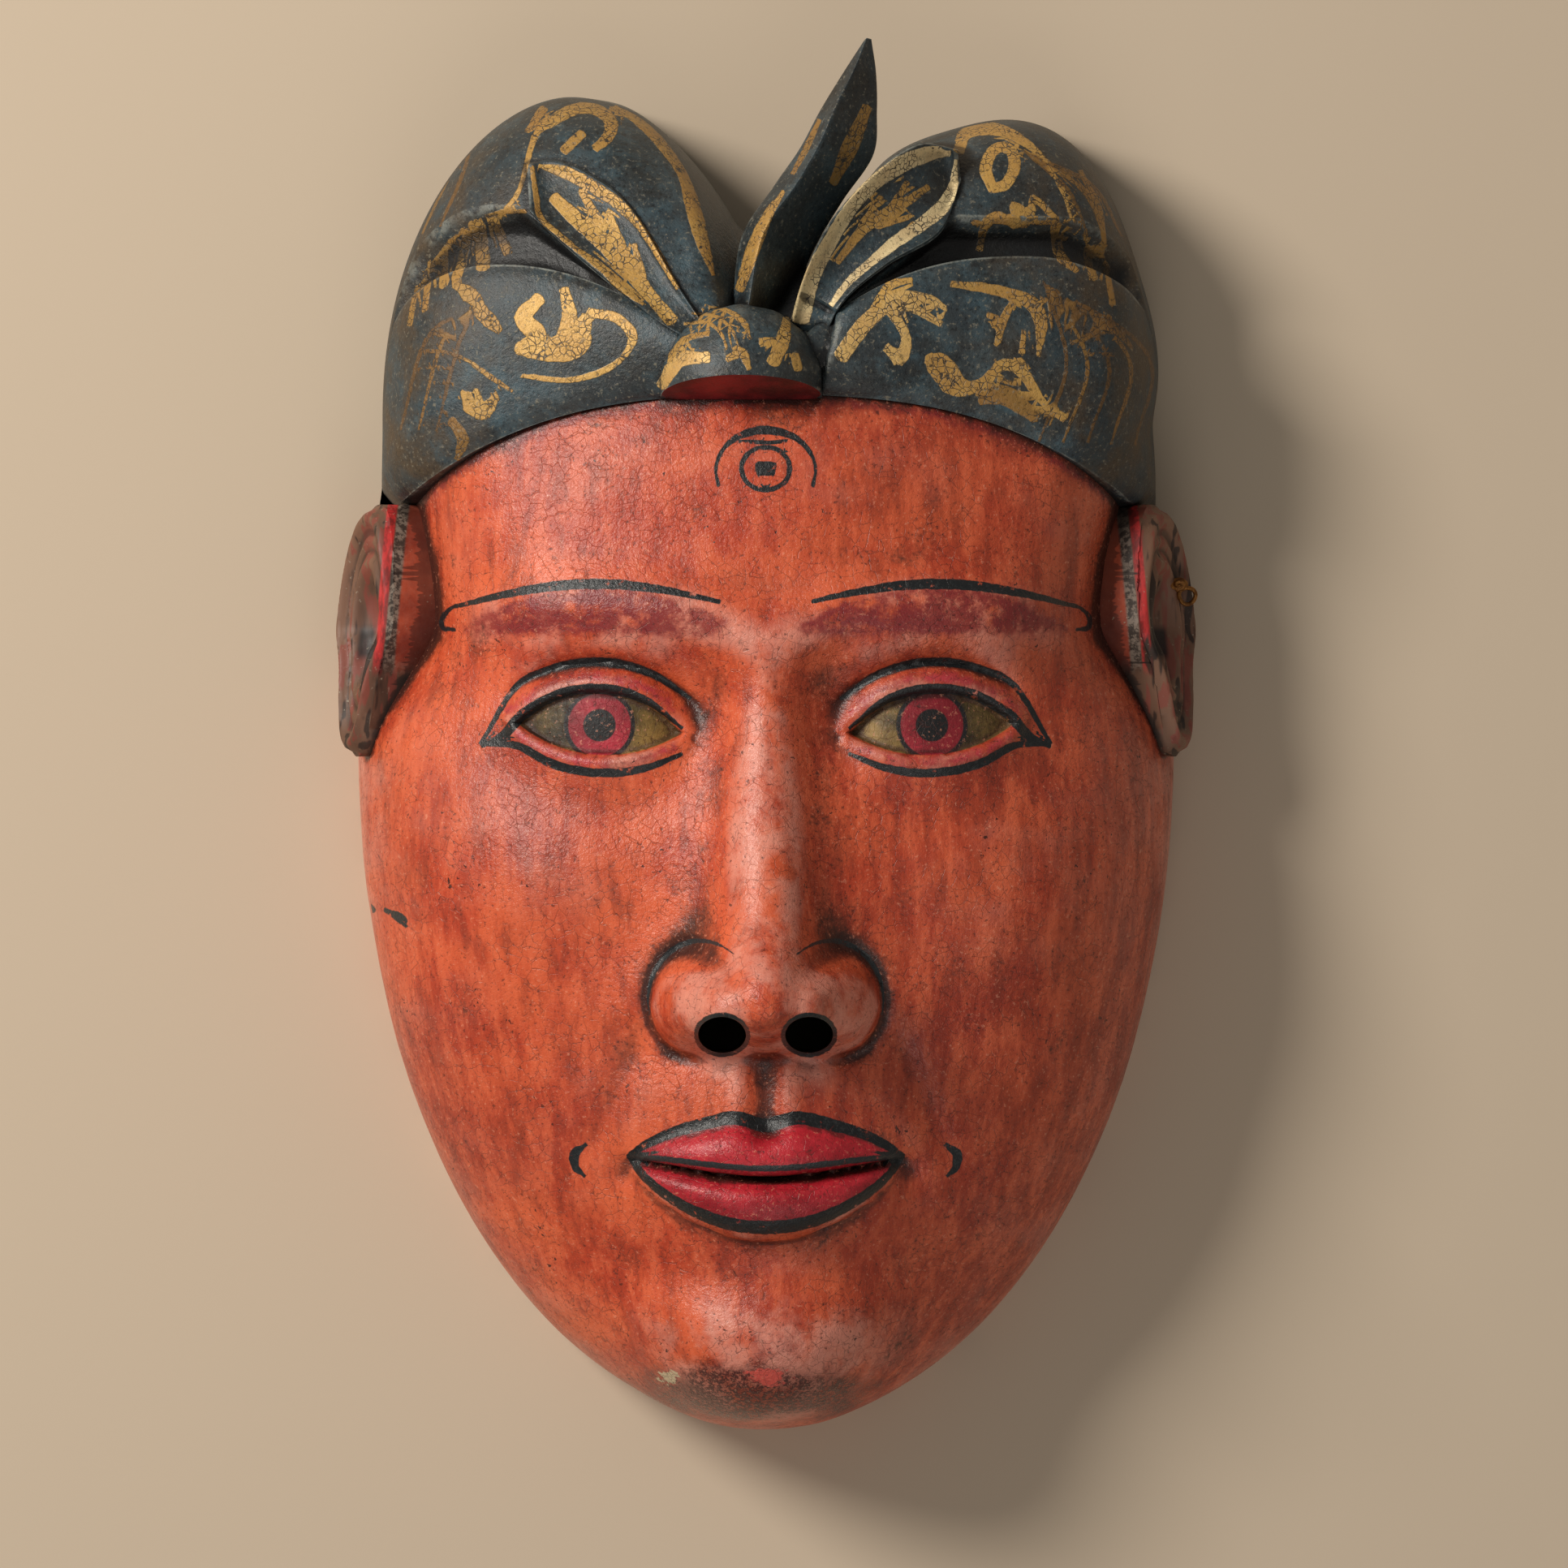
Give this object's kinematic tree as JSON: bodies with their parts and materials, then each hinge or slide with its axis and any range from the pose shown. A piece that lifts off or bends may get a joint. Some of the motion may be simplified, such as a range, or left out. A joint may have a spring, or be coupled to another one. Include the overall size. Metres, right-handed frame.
{
  "type": "carved wooden dance mask",
  "caption": "Hollow-backed wooden face mask with a knotted, crested headcloth, painted red, blue-black and gold.",
  "frame": {"origin": "middle of the bounding box in X and Y, on the flat back plane in Z", "axes": "+X to the viewer's right, +Y up the face to the crest, +Z out of the face, so the mask lies on its flat back with its face up"},
  "size_m": [0.1574, 0.2538, 0.0851],
  "materials": {
    "painted_wood": "aged satin paint over carved wood",
    "old_wire": "tarnished"
  },
  "bodies": {
    "root": {"mask": "painted_wood", "ear_wire_loop": "old_wire"}
  },
  "joints": []
}
